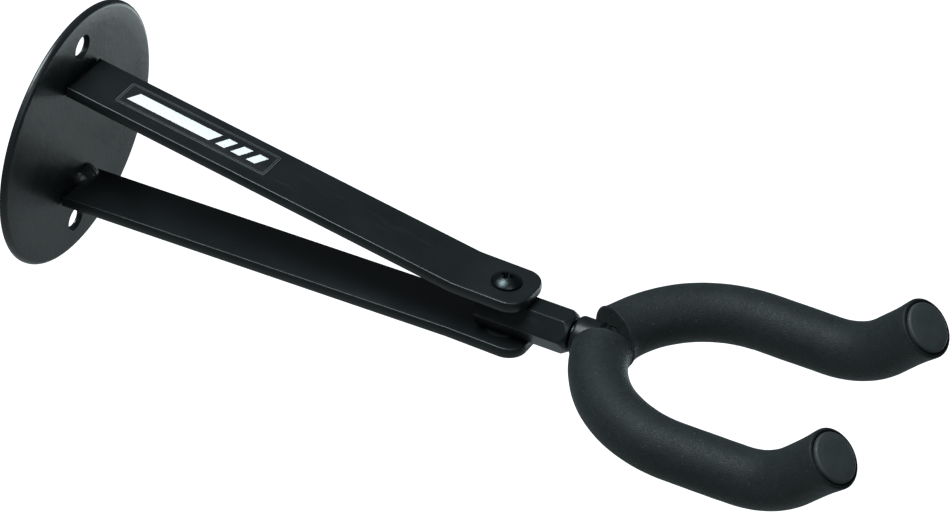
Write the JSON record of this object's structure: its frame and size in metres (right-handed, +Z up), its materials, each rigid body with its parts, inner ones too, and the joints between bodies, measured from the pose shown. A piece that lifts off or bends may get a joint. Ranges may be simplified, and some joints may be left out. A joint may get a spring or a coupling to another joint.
{
  "type": "wall guitar hanger",
  "caption": "Wall hanger for a guitar: a round screw-on plate, flat steel arms, a swivel block and a turning foam-padded yoke that holds the instrument's neck.",
  "frame": {"origin": "the middle of the plane where the round plate's rim meets the wall", "axes": "+X leaves the wall along the arms, +Y runs along the wall, +Z is up"},
  "size_m": [0.36, 0.1116, 0.11],
  "materials": {
    "plate_coat": "satin black powder coat",
    "arm_coat": "satin black powder coat",
    "gloss_coat": "gloss black paint",
    "black_steel": "black oxide",
    "zinc_steel": "zinc plated",
    "nylon": "natural",
    "black_nylon": "black",
    "label": "black vinyl with a plain stripe in place of lettering",
    "foam": "matte closed-cell foam",
    "cap_rubber": "matte moulded"
  },
  "bodies": {
    "bracket": {"wall_plate": "plate_coat", "upper_arm": "arm_coat", "lower_arm": "arm_coat", "upper_arm_weld": "arm_coat", "lower_arm_weld": "arm_coat", "blank_label": "label", "clamp_screw": "black_steel", "clamp_washer": "zinc_steel", "clamp_nut": "zinc_steel", "nut_insert": "nylon", "upper_friction_washer": "black_nylon", "lower_friction_washer": "black_nylon"},
    "block": {"swivel_block": "gloss_coat", "retaining_screw": "black_steel", "thrust_washer": "black_steel"},
    "yoke": {"yoke_hub": "gloss_coat", "yoke_rod": "gloss_coat", "upper_hub_weld": "gloss_coat", "lower_hub_weld": "gloss_coat", "foam_far": "foam", "foam_near": "foam", "cap_far": "cap_rubber", "cap_near": "cap_rubber"}
  },
  "joints": [
    {"name": "block_swivel", "type": "hinge", "parent": "bracket", "child": "block", "pos_m": [0.1935, 0, -0.0072], "axis": [0, 0, 1], "range_deg": [-90, 90]},
    {"name": "yoke_turn", "type": "hinge", "parent": "block", "child": "yoke", "pos_m": [0.23708, 0.00122, -0.0072], "axis": [0.9996, 0.0279, 0], "continuous": true}
  ]
}
